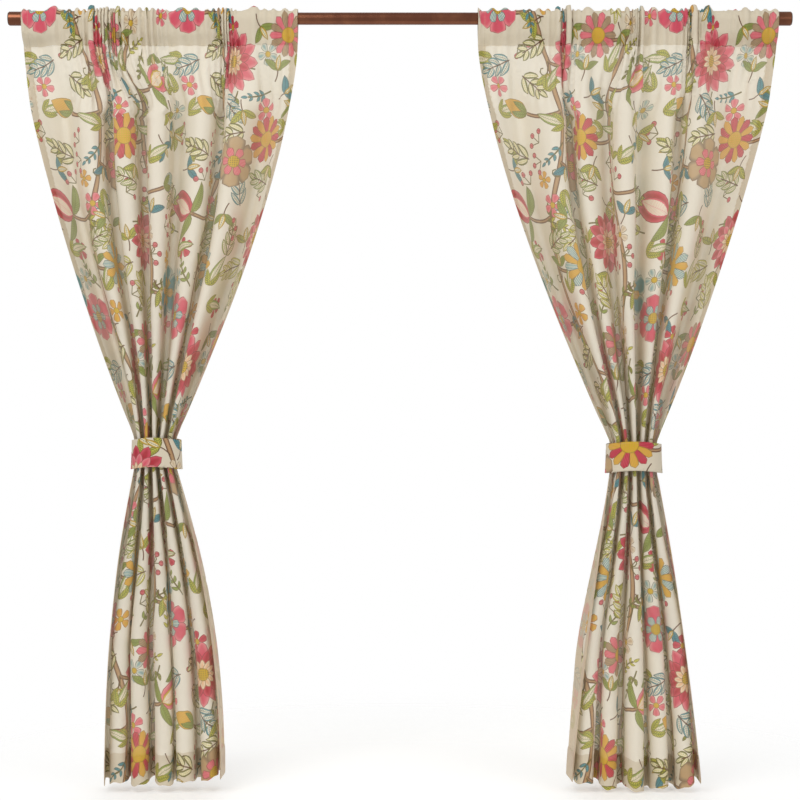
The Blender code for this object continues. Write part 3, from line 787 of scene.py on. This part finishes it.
class Drape:
    """Where each place on one panel's flat cloth hangs, keeping the cloth's width in every fold."""

    def __init__(self, sizes, cloth, folds, seed, lifts):
        self.sizes, self.cloth, self.seed, self.lifts = sizes, cloth, seed, lifts
        self.width = cloth.flat_width
        self.length = sizes.hem_drop - cloth.pocket_depth
        walls = np.array([wall for wall, _ in folds], float)
        self.knots = np.cumsum(walls)[:-1] / walls.sum() * self.width
        self.steep = np.radians([angle for _, angle in folds])
        self.signs = np.where(np.arange(len(folds)) % 2 == 0, 1.0, -1.0)
        self.across = np.linspace(0, self.width, 1100)
        self.down = np.linspace(0, self.length, 230)
        self.hang()

    def outline(self, heights):
        s = self.sizes
        seam, middle = -self.cloth.pocket_depth, s.pocket_start + s.pocket_width / 2
        waist_x, half_band = middle + s.waist_shift, 0.030
        top, bottom = -s.waist_height + half_band, -s.waist_height - half_band
        above = np.clip((seam - heights) / (seam - top), 0, 1)
        below = 1 - (1 - np.clip((bottom - heights) / (bottom + s.hem_drop), 0, 1)) ** s.flare
        sides = []
        for side, bulge in ((-1, s.left_bulge), (1, s.right_bulge)):
            pocket, waist = middle + side * s.pocket_width / 2, waist_x + side * s.waist_width / 2
            hem = middle + s.hem_shift + side * s.hem_width / 2
            upper = pocket + (waist - pocket) * above**bulge
            sides.append(np.where(heights >= top, upper, waist + (hem - waist) * below))
        return sides

    def gathers(self, pitch, seed):
        """Fine irregular waves, fuller where the cloth folds deeply below."""
        middles = (np.concatenate(([0], self.knots)) + np.concatenate((self.knots, [self.width]))) / 2
        fullness = 0.58 + 0.56 * np.interp(self.across, middles, eased(self.steep / math.radians(75)))
        phase = self.across / pitch + 0.85 * wander(self.across, pitch * 1.7, seed)
        return np.sin(TAU * phase) * fullness * (0.9 + 0.25 * wander(self.across, pitch * 2.3, seed + 1))

    def angles(self, tightness, base, knots, soft):
        """The cloth's angle to the wall, row by row: even walls, turned smoothly at each crease."""
        steep = self.signs * (base + (math.radians(89) - base) * tightness[:, None])
        angle = np.repeat(steep[:, :1], len(self.across), axis=1)
        for index in range(knots.shape[1]):
            step = (steep[:, index + 1] - steep[:, index])[:, None]
            turn = soft[index % 2][:, None]
            angle += step * 0.5 * (1 + np.tanh((self.across - knots[:, index : index + 1]) / turn))
        return angle

    def drift(self, lines, reach):
        """Each line's moving average over a reach of flat cloth."""
        half = round(reach / self.across[1] / 2)
        padded = np.pad(lines, ((0, 0), (half + 1, half)), "reflect")
        total = np.cumsum(padded, axis=1)
        return (total[:, 2 * half :] - total[:, : -2 * half])[:, : lines.shape[1]] / (2 * half)

    @staticmethod
    def solve(measure, target, low, high):
        """The value, for each row, at which measure falls to target."""
        low, high = np.full(len(target), low), np.full(len(target), high)
        for _ in range(18):
            middle = (low + high) / 2
            wide = measure(middle) > target
            low, high = np.where(wide, middle, low), np.where(wide, high, middle)
        return (low + high) / 2

    def hang(self):
        s, cloth = self.sizes, self.cloth
        heights = -cloth.pocket_depth - self.down
        self.left, self.right = self.outline(heights)
        target = self.right - self.left
        step = self.across[1]
        spread = np.arange(len(self.steep))
        low_base = np.radians(60 + 20 * np.sin(spread * 1.9 + self.seed))
        under = (heights < -s.waist_height)[:, None]
        base = np.where(under, low_base, self.steep)
        knots = np.column_stack(
            [knot + 0.006 * wander(self.down, 0.16, self.seed + 7 * i) for i, knot in enumerate(self.knots)]
        )
        base = base * (1 + 0.07 * np.column_stack([wander(self.down, 0.2, self.seed + 90 + i) for i in spread]))
        free = 0.150  # below this the folds hang free of the pocket's puckers
        bundle_depth, band_depth = 0.0395, 0.0398  # half the folds' depth, and the tieback's, at the waist
        fine = self.gathers(0.027, self.seed + 3)
        from_waist = np.abs(heights + s.waist_height)
        reach = np.where(heights > -s.waist_height, 0.60, 0.42)
        opened = eased((from_waist - 0.02) / reach)
        soft = [0.0036 + (loose - 0.0036) * opened for loose in (0.0075, 0.0230)]  # back creases, front rounds
        faint = 0.22 * np.exp(-np.maximum(self.down - free, 0) / 0.10)[:, None] * fine

        def width(angle):
            return np.cos(angle).sum(1) * step

        tightness = self.solve(lambda t: width(self.angles(t, base, knots, soft) + faint), target, -0.9, 1.25)
        first_free = int(np.searchsorted(self.down, free))
        tightness[:first_free] = tightness[first_free]
        main = self.angles(tightness, base, knots, soft)
        grown = eased(self.down / free)[:, None]
        main = main * np.where(self.down[:, None] < free, 0.04 + 0.96 * grown, 1.0)
        puckers = self.solve(lambda b: width(main + b[:, None] * fine), target, 0.0, 2.1)
        rows = np.arange(len(self.down))
        puckered = np.where(rows < first_free, puckers, 0)[:, None] * fine
        angle = main + puckered + np.where(rows[:, None] < first_free, 0, faint)
        x = np.cumsum(np.cos(angle), axis=1) * step
        y = np.cumsum(np.sin(angle), axis=1) * step
        share = (x - x[:, :1]) / (x[:, -1:] - x[:, :1])
        trend = np.linspace(-0.5, 0.5, y.shape[1])
        y = y - y.mean(1, keepdims=True)
        y = y - trend * (y * trend).sum(1, keepdims=True) / (trend**2).sum()
        y = y - self.drift(y, 0.178) * eased(self.down / free)[:, None]
        limit = np.abs(y).max(1)
        bundle = eased(1 - np.abs(heights + s.waist_height) / 0.25)
        allowed = cloth.fold_depth + (bundle_depth - cloth.fold_depth) * bundle
        y = y * np.minimum(1.0, allowed / limit)[:, None]
        oval = np.sqrt(np.clip(1 - 0.94 * (2 * share - 1) ** 2, 0.05, 1)) * band_depth
        tight = bundle[:, None] * np.clip(np.abs(y) - oval, 0, None)
        y = y - np.sign(y) * tight
        self.x = self.left[:, None] + share * target[:, None]
        self.y = y
        fall = np.clip((-s.waist_height - heights) / (s.hem_drop - s.waist_height), 0, 1)[:, None] ** 2
        left_lift, right_lift = self.lifts
        lift = left_lift * np.clip(1 - 2 * share, 0, 1) ** 1.5 + right_lift * np.clip(2 * share - 1, 0, 1) ** 1.5
        uneven = lift + 0.0034 * np.sin(share * 23 + self.seed) + 0.0020 * np.sin(share * 57 + 2 * self.seed)
        self.z = heights[:, None] + fall * uneven

    def at(self, flat):
        """Places in the room of places on the flat cloth, (across, down the face) in metres."""
        columns = np.clip(flat[:, 0] / self.width, 0, 1) * (len(self.across) - 1)
        rows = np.clip(flat[:, 1] / self.length, 0, 1) * (len(self.down) - 1)
        column = np.minimum(columns.astype(int), len(self.across) - 2)
        row = np.minimum(rows.astype(int), len(self.down) - 2)
        a, b = (columns - column)[:, None], (rows - row)[:, None]
        corners = [(i, j) for i in (row, row + 1) for j in (column, column + 1)]
        grid = [np.stack((self.x[at], self.y[at], self.z[at]), 1) for at in corners]
        return (grid[0] * (1 - a) + grid[1] * a) * (1 - b) + (grid[2] * (1 - a) + grid[3] * a) * b

    def behind(self, flat, gap):
        """The same places moved off the cloth's back."""
        nudge = 0.0012
        over = self.at(flat + (nudge, 0)) - self.at(flat - (nudge, 0))
        under = self.at(flat + (0, nudge)) - self.at(flat - (0, nudge))
        normal = np.cross(over, under)
        normal /= np.maximum(np.linalg.norm(normal, axis=1), 1e-9)[:, None]
        return self.at(flat) + normal * np.asarray(gap).reshape(-1, 1)

    def pocket(self, flat, tube_radius):
        """Places on the pocket: (across, up from the seam's front, over the rod, down to its back)."""
        depth, radius = self.cloth.pocket_depth, tube_radius + POCKET_EASE
        straight = math.sqrt(depth**2 - radius**2)
        tangent = math.acos(radius / depth)
        up = flat[:, 1]
        loop = pocket_length(depth, tube_radius)
        turn = tangent + np.clip(up - straight, 0, 2 * (math.pi - tangent) * radius) / radius
        rim_y, rim_z = -radius * np.sin(turn), -radius * np.cos(turn)
        start = np.clip(up / straight, 0, 1)
        end = np.clip((loop - up) / straight, 0, 1)
        front = up < straight
        back = up > loop - straight
        tangent_y, tangent_z = radius * math.sin(tangent), -radius * math.cos(tangent)
        y = np.where(front, -tangent_y * start, np.where(back, tangent_y * end, rim_y))
        climb = tangent_z + depth
        z = np.where(front, -depth + climb * start, np.where(back, -depth + climb * end, rim_z))
        out_y = np.where(front, -math.sin(tangent), np.where(back, math.sin(tangent), -np.sin(turn)))
        out_z = -np.cos(np.where(front, tangent, np.where(back, TAU - tangent, turn)))
        near_seam = np.minimum(up, loop - up)
        sewn = eased(1 - near_seam / 0.030)
        wave = self.gathers(0.027, self.seed + 3)
        scale = self.solve(
            lambda b: np.cos(b[:, None] * wave).mean(1) * self.width, np.array([self.sizes.pocket_width]), 0.0, 2.0
        )
        step = self.across[1]
        x = np.cumsum(np.cos(scale * wave)) * step
        rise = np.cumsum(np.sin(scale * wave)) * step
        trend = np.linspace(-0.5, 0.5, len(rise))
        rise = rise - rise.mean()
        rise = rise - trend * (rise * trend).sum() / (trend**2).sum()
        level = rise - self.drift(rise[None], 0.09)[0]
        x = (x - x[0]) / (x[-1] - x[0]) * self.sizes.pocket_width + self.sizes.pocket_start
        columns = np.clip(flat[:, 0] / self.width, 0, 1) * self.width
        at_seam, on_rod = (np.interp(columns, self.across, line) for line in (rise, level))
        both = at_seam * sewn + on_rod * (1 - sewn)
        raised = both * np.where(up < loop / 2, -1.0, 2 * sewn - 1)
        free = 1 - sewn
        out = raised * (1 - free) + np.clip(raised + 0.0042, 0.0018, None) * free
        result = np.zeros((len(flat), 3))
        result[:, 0] = np.interp(columns, self.across, x)
        result[:, 1] = y + out_y * out
        result[:, 2] = z + out_z * out * free
        return result


def pocket_length(depth, tube_radius):
    """Cloth from the seam's front, over the rod, to its back."""
    radius = tube_radius + POCKET_EASE
    return 2 * math.sqrt(depth**2 - radius**2) + 2 * (math.pi - math.acos(radius / depth)) * radius


# --- Pieces -----------------------------------------------------------------------------------------


def shown(name, mesh, materials, body):
    made = bpy.data.objects.new(name, mesh)
    bpy.context.scene.collection.objects.link(made)
    for material in materials:
        mesh.materials.append(material)
    mesh.polygons.foreach_set("use_smooth", [True] * len(mesh.polygons))
    mesh.update()
    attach(made, body)
    return made


def printed_piece(name, sheet, place, body, material, colours, doubled, seams):
    """A printed sheet, cut flat and then put where place says."""
    places, faces, owner, owners = sheet
    mesh = bpy.data.meshes.new(name)
    mesh.from_pydata(place(places * MM).tolist(), [], faces[:, ::-1].tolist())
    ink_mesh(mesh, places, faces, owner, owners, colours, doubled, seams)
    return shown(name, mesh, [material], body)


def grid_piece(name, columns, rows, place, body, material):
    """A plain sheet: a grid put where place says, from arrays of column and row values."""
    bm = bmesh.new()
    bmesh.ops.create_grid(bm, x_segments=len(columns) - 1, y_segments=len(rows) - 1, size=1.0)
    flat = np.array([(vert.co.x, vert.co.y) for vert in bm.verts])
    column = np.rint((flat[:, 0] + 1) / 2 * (len(columns) - 1)).astype(int)
    row = np.rint((1 - flat[:, 1]) / 2 * (len(rows) - 1)).astype(int)
    cut = np.column_stack((np.asarray(columns)[column], np.asarray(rows)[row]))
    for vert, spot in zip(bm.verts, place(cut)):
        vert.co = spot
    bm.verts.index_update()
    uv, bake = bm.loops.layers.uv.new("cloth"), bm.loops.layers.uv.new("OFBake")
    low, size = cut.min(0), np.ptp(cut, axis=0)
    for face in bm.faces:
        for loop in face.loops:
            spot = cut[loop.vert.index]
            loop[uv].uv = spot
            loop[bake].uv = 0.002 + 0.996 * (spot - low) / size
    mesh = bpy.data.meshes.new(name)
    bm.to_mesh(mesh)
    bm.free()
    return shown(name, mesh, [material], body)


SIDES = {
    "left": {"sizes": "left_panel", "seed": 5, "lifts": (0.002, 0.013), "hems": ("outer", "inner")},
    "right": {"sizes": "right_panel", "seed": 23, "lifts": (0.022, 0.013), "hems": ("inner", "outer")},
}


def drape_of(scene, side):
    told = SIDES[side]
    return Drape(getattr(scene, told["sizes"]), scene.cloth, FOLDS[side], told["seed"], told["lifts"])


def material_once(name, make, *given, **more):
    """The material of that name, made the first time it is asked for."""
    return bpy.data.materials.get(name) or make(*given, name, **more)


class CURTAIN_OT_faces(bpy.types.Operator):
    """Both panels' faces, from the pocket's seam to the hem, in their folds"""

    bl_idname = "curtain.faces"
    bl_label = "Panel Faces"

    def execute(self, context):
        scene, cloth = context.scene, context.scene.cloth
        material = material_once("printed_cotton", cloth_material, scene)
        longest = max(drape_of(scene, side).length for side in SIDES)
        hem_line = longest - cloth.bottom_hem
        size = (cloth.flat_width / MM, longest / MM)
        sheet = printed_sheet(lay_out_print(), 0, 0, *size, (hem_line / MM,))
        for side in SIDES:
            drape = drape_of(scene, side)
            fit = (1, drape.length / longest)

            # Where the hems double the cloth, which the shader darkens as painted shade.
            def doubled(flat):
                in_side = (flat[:, 0] < cloth.side_hem) | (flat[:, 0] > cloth.flat_width - cloth.side_hem)
                return ((flat[:, 1] > hem_line) | in_side).astype(float)

            def seams(flat):
                return np.abs(flat[:, 1] - hem_line - 0.002)

            face = printed_piece(
                f"{side}_printed_face", sheet, lambda flat: drape.at(flat * fit),
                f"{side}_panel", material, scene.print_colours, doubled, seams,
            )
            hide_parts(f"{side}_face")
        return {"FINISHED"}


class CURTAIN_OT_pockets(bpy.types.Operator):
    """The gathered pockets that the rod runs through"""

    bl_idname = "curtain.pockets"
    bl_label = "Rod Pockets"

    def execute(self, context):
        scene, cloth = context.scene, context.scene.cloth
        # The pocket is two layers, so its ground is painted darker all over as painted shade.
        material = material_once("printed_cotton_doubled", cloth_material, scene, doubled_everywhere=True)
        low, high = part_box("outer_tube")
        radius = (high.z - low.z) / 2
        around = pocket_length(cloth.pocket_depth, radius)
        sheet = printed_sheet(lay_out_print(), 0, -around / MM, cloth.flat_width / MM, around / MM, (), 5.2)
        for side in SIDES:
            drape = drape_of(scene, side)
            piece = printed_piece(
                f"{side}_gathered_pocket", sheet,
                lambda flat: drape.pocket(flat * (1, -1), radius), f"{side}_panel", material,
                scene.print_colours, lambda flat: np.ones(len(flat)),
                lambda flat: np.minimum(np.abs(flat[:, 1] + 0.003), np.abs(flat[:, 1] + around - 0.003)),
            )
            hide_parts(f"{side}_rod_pocket")
        return {"FINISHED"}


class CURTAIN_OT_hems(bpy.types.Operator):
    """The turned-back side hems and turned-up bottom hems, behind the faces"""

    bl_idname = "curtain.hems"
    bl_label = "Hems"

    def execute(self, context):
        scene, cloth = context.scene, context.scene.cloth
        material = material_once("cotton_reverse", reverse_material, scene)
        gap = cloth.layer_gap
        for side, told in SIDES.items():
            drape = drape_of(scene, side)
            width, length_down = cloth.flat_width, drape.length
            turn = np.array([0, 0.0008, 0.003, 0.008, 0.013, 0.0175, cloth.side_hem])
            lift = np.array([0, 0.5, 1, 1, 1, 0.8, 0.35]) * gap
            rows = np.linspace(0, length_down - 0.001, 300)
            near, far = told["hems"]
            for name, columns, lifts in ((near, turn, lift), (far, width - turn[::-1], lift[::-1])):
                piece = grid_piece(
                    f"{side}_{name}_hem", columns, rows,
                    lambda flat: drape.behind(flat, np.interp(flat[:, 0], columns, lifts)),
                    f"{side}_panel", material,
                )
                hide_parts(f"{side}_{name}_side_hem")
            rise = np.array([0, 0.0008, 0.003, 0.010, 0.020, 0.032, 0.045, 0.057, cloth.bottom_hem])
            lift = np.array([0, 0.6, 1.2, 1.3, 1.3, 1.3, 1.3, 1.2, 0.5]) * gap
            rows = (length_down - rise)[::-1]
            columns = np.linspace(0.001, width - 0.001, 520)
            piece = grid_piece(
                f"{side}_turned_up_hem", columns, rows,
                lambda flat: drape.behind(flat, np.interp(flat[:, 1], rows, lift[::-1])),
                f"{side}_panel", material,
            )
            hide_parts(f"{side}_bottom_hem")
        return {"FINISHED"}


class CURTAIN_OT_tiebacks(bpy.types.Operator):
    """The bands that hold the panels in at the waist"""

    bl_idname = "curtain.tiebacks"
    bl_label = "Tiebacks"

    def execute(self, context):
        scene = context.scene
        # The band's ground is painted darker all over as painted shade, as for doubled cloth.
        material = material_once("printed_cotton_doubled", cloth_material, scene, doubled_everywhere=True)
        shapes = lay_out_print()
        overlap = math.radians(40)
        first, span = math.pi - overlap / 2, TAU + overlap
        for side, told in SIDES.items():
            sizes = getattr(scene, told["sizes"])
            low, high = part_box(f"{side}_tieback")
            middle = sizes.pocket_start + sizes.pocket_width / 2 + sizes.waist_shift
            height = high.z - low.z
            inset = 0.0010  # just over half the band's thickness, so that it stays within the CAD
            half_width, half_depth = (high.x - low.x) / 2 - inset, -low.y - inset
            lap = high.y - inset - half_depth
            corner = math.sqrt((3 * half_width + half_depth) * (half_width + 3 * half_depth))
            around = math.pi * (3 * (half_width + half_depth) - corner)
            cut = around * span / TAU
            offset = {"left": (0.300, 0.330), "right": (0.196, 0.186)}[side]  # where on the print it is cut

            def wrap(flat):
                share = (flat[:, 0] - offset[0]) / cut
                down = (flat[:, 1] - offset[1]) / height
                angle = first + span * share
                rise = lap * eased((angle - first - math.pi) / (math.pi - overlap / 2))
                crease = np.sin(angle * 9 + down * 3 + sizes.flare) * np.sin(angle * 4 + 1.3)
                front = np.clip(np.cos(angle), 0, 1)
                out = rise + 0.0007 * front * crease + 0.0024 * np.clip(down, 0, 1) ** 1.5 * np.sin(angle) ** 2
                return np.column_stack((
                    middle + (half_width + out) * np.sin(angle),
                    -(half_depth + out) * np.cos(angle),
                    -sizes.waist_height + height * (0.5 - down) - 0.006 * np.sin(angle) ** 2 + 0.002,
                ))

            band = printed_piece(
                f"{side}_tieback_band",
                printed_sheet(shapes, offset[0] / MM, offset[1] / MM, cut / MM, height / MM, (), 5.0), wrap,
                f"{side}_panel", material, scene.print_colours, lambda flat: np.ones(len(flat)),
                lambda flat: np.minimum(
                    np.abs(flat[:, 1] - offset[1] - 0.003), np.abs(flat[:, 1] - offset[1] - height + 0.003)
                ),
            )
            thick = band.modifiers.new("Thickness", "SOLIDIFY")
            thick.thickness, thick.offset = 0.0018, 0.0
            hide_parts(f"{side}_tieback")
        return {"FINISHED"}


def reverse_material(scene, name):
    """The cloth's wrong side, pinkish, with its weave and slubs."""
    cloth = scene.cloth
    graph = Graph(name)
    uv = graph.node("ShaderNodeUVMap", {"uv_map": "cloth"})[0]
    ghost = graph.noise(uv, 26.0, 3.0).ramp(0.45, 0.62)
    base = graph.mix(ghost * 0.35, tuple(cloth.reverse), linear(196, 158, 138))
    constants = {"Specular IOR Level": 0.25, "Sheen Weight": 0.15}
    return graph.finish(woven(graph, uv, base), constants, 0.24)


def painted_metal(scene, name):
    """Bronze paint: drawn lengthwise, a little worn and mottled."""
    rod = scene.rod
    graph = Graph(name)
    place = graph.node("ShaderNodeTexCoord")[3]
    drawn = graph.noise(place, 1.0, 3.0, (6.0, 900.0, 900.0))
    mottle = graph.noise(place, 34.0, 4.0)
    base = graph.mix(mottle.ramp(0.42, 0.78) * 0.55, tuple(rod.bronze), tuple(rod.worn))
    base = graph.mix(drawn.ramp(0.5, 0.8) * 0.30, base, linear(92, 50, 34))
    normal = bumped(graph, drawn + mottle * 0.5, 0.06 * MM, 0.5)
    return graph.finish({"Base Color": base, "Roughness": 0.17 + mottle * 0.10, "Normal": normal}, {"Metallic": 0.92})


def plain_material(base, second, scale, rough, metallic=0.0, bump=0.1):
    """A finish with a fine mottle and grain, for the small hard parts."""

    def make(name):
        graph = Graph(name)
        place = graph.node("ShaderNodeTexCoord")[3]
        grain, cloud = graph.noise(place, scale, 3.0), graph.noise(place, scale / 18, 2.0)
        colour_of = graph.mix(cloud.ramp(0.35, 0.7) * 0.6, base, second)
        normal = bumped(graph, grain, bump * MM, 0.5)
        surface = {"Base Color": colour_of, "Roughness": rough + (grain - 0.5) * 0.2, "Normal": normal}
        return graph.finish(surface, {"Metallic": metallic})

    return make


def compressible_spring(material):
    """The coil, which rides with its stop; the joint's travel is read, but the coil is not shortened by it."""
    bm = bmesh.new()
    bm.from_mesh(frame["nodes"]["spring"].data)
    bmesh.ops.remove_doubles(bm, verts=bm.verts, dist=1e-6)
    mesh = bpy.data.meshes.new("coil_spring")
    bm.to_mesh(mesh)
    bm.free()
    coil = shown("coil_spring", mesh, [material], "inner_rod")
    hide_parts("spring")
    low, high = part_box("spring")
    joints = frame["record"]["behaviour"]["joints"]
    travel = next(-joint["range_m"][0] for joint in joints if joint["name"] == "spring_travel")
    1 - travel / (high[0] - low[0])
    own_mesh(coil)


class CURTAIN_OT_rod(bpy.types.Operator):
    """Finishes for the rod, its caps and feet, the lock and spring inside it, and the touch fasteners"""

    bl_idname = "curtain.rod"
    bl_label = "Rod"

    def execute(self, context):
        scene, rod = context.scene, context.scene.rod
        finishes = {
            "bronze": painted_metal(scene, "bronze_paint"),
            "steel": plain_material(tuple(rod.steel), linear(150, 152, 158), 900, 0.30, 1.0)("zinc_plate"),
            "rubber": plain_material(tuple(rod.rubber), linear(78, 66, 58), 1400, 0.82)("soft_rubber"),
            "nylon": plain_material(tuple(rod.nylon), linear(204, 198, 182), 1100, 0.48)("moulded_nylon"),
            "pile": plain_material(
                linear(226, 216, 192), linear(190, 178, 150), 2600, 0.95, 0.0, 0.5
            )("fastener_pile"),
        }
        nodes = {
            "bronze": ("outer_tube", "inner_tube", "left_end_cap", "right_end_cap"),
            "steel": ("lock_screw",),
            "rubber": ("left_foot", "right_foot"),
            "nylon": (
                "left_end_plug", "right_end_plug", "guide_bushing", "lock_sleeve", "cone_nut", "screw_guide",
                "spring_stop",
            ),
            "pile": ("left_loop_patch", "left_hook_patch", "right_loop_patch", "right_hook_patch"),
        }
        for finish, names in nodes.items():
            for name in names:
                node = frame["nodes"][name]
                for slot in node.material_slots:
                    slot.material = finishes[finish]
        compressible_spring(finishes["steel"])
        return {"FINISHED"}


class CURTAIN_OT_studio(bpy.types.Operator):
    """Pale floor, even white light, three soft lamps and the camera"""

    bl_idname = "curtain.studio"
    bl_label = "Studio"

    def execute(self, context):
        scene, studio = context.scene, context.scene.studio
        middle = Vector(LOOK_AT)
        floor_middle = Vector((middle.x, 0.0, CAD_BOX[0][2] - FLOOR_GAP))
        graph = Graph("pale_floor")
        place = graph.node("ShaderNodeTexCoord")[3]
        spread = graph.node("ShaderNodeVectorMath", {"operation": "DISTANCE"}, {0: place, 1: floor_middle})[1]
        cloud = graph.noise(place, 3.0, 2.0)
        base = graph.mix(cloud * 0.1, tuple(studio.floor), linear(236, 236, 234))
        inputs = {"Base Color": base, "Alpha": 1 - spread.ramp(0.45, 1.35), "Roughness": 0.7}
        floor_material = graph.finish(inputs, {"Emission Color": (1.0, 1.0, 1.0), "Emission Strength": 0.24})
        bm = bmesh.new()
        bmesh.ops.create_circle(bm, cap_ends=True, segments=96, radius=1.4)
        bmesh.ops.translate(bm, verts=bm.verts, vec=floor_middle)
        mesh = bpy.data.meshes.new("floor")
        bm.to_mesh(mesh)
        bm.free()
        mesh.materials.append(floor_material)
        floor = bpy.data.objects.new("floor", mesh)
        scene.collection.objects.link(floor)
        world = bpy.data.worlds.new("even_white")
        sky = Graph("even_white", world)
        white = (1.0, 1.0, 1.0)
        light = sky.node("ShaderNodeBackground", {}, {"Color": white, "Strength": studio.sky})[0]
        backdrop = sky.node("ShaderNodeBackground", {}, {"Color": white})[0]
        straight_to_camera = sky.node("ShaderNodeLightPath")[0]
        seen = sky.node("ShaderNodeMixShader", {}, {0: straight_to_camera, 1: light, 2: backdrop})[0]
        sky.node("ShaderNodeOutputWorld", {}, {"Surface": seen})
        scene.world = world
        scene.view_settings.view_transform = "Standard"
        for name, spot, target, width, power in (
            ("key", (-0.5, -2.3, 1.3), (0.7, 0.0, -0.5), 1.8, 34),
            ("fill", (2.9, -2.4, 0.0), (1.0, 0.0, -0.9), 1.6, 14),
            ("back", (0.8, 2.2, 0.4), (0.8, 0.0, -0.7), 2.0, 8),
        ):
            lamp = bpy.data.lights.new(name, "AREA")
            lamp.shape, lamp.size, lamp.energy = "SQUARE", width, power
            made = bpy.data.objects.new(name, lamp)
            scene.collection.objects.link(made)
            made.location = spot
            made.rotation_euler = (Vector(target) - Vector(spot)).to_track_quat("-Z", "Y").to_euler()
        camera = bpy.data.cameras.new("camera")
        camera.lens = studio.lens
        eye = bpy.data.objects.new("camera", camera)
        scene.collection.objects.link(eye)
        eye.location = (middle.x, -studio.distance, middle.z)
        eye.rotation_euler = (math.pi / 2, 0.0, 0.0)
        scene.camera = eye
        return {"FINISHED"}


OPERATORS = (
    CURTAIN_OT_studio,
    CURTAIN_OT_rod,
    CURTAIN_OT_pockets,
    CURTAIN_OT_faces,
    CURTAIN_OT_hems,
    CURTAIN_OT_tiebacks,
)


class CURTAIN_PT_panel(bpy.types.Panel):
    """Lists the curtain's operators."""

    bl_idname = "CURTAIN_PT_panel"
    bl_label = "Curtains"
    bl_space_type = "VIEW_3D"
    bl_region_type = "UI"
    bl_category = "Curtains"

    def draw(self, context):
        for operator in OPERATORS:
            self.layout.operator(operator.bl_idname)


SETTINGS = {
    "cloth": ClothSettings,
    "print_colours": PrintColours,
    "left_panel": LeftPanelSizes,
    "right_panel": RightPanelSizes,
    "rod": RodSettings,
    "studio": StudioSettings,
}


def register():
    for group in (*SETTINGS.values(), *OPERATORS, CURTAIN_PT_panel):
        bpy.utils.register_class(group)
    for name, group in SETTINGS.items():
        setattr(bpy.types.Scene, name, PointerProperty(type=group))


def unregister():
    for name in SETTINGS:
        delattr(bpy.types.Scene, name)
    for group in reversed((*SETTINGS.values(), *OPERATORS, CURTAIN_PT_panel)):
        bpy.utils.unregister_class(group)


def main():
    register()
    for operator in OPERATORS:
        category, name = operator.bl_idname.split(".")
        getattr(getattr(bpy.ops, category), name)()
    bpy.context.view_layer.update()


if __name__ == "__main__":
    main()
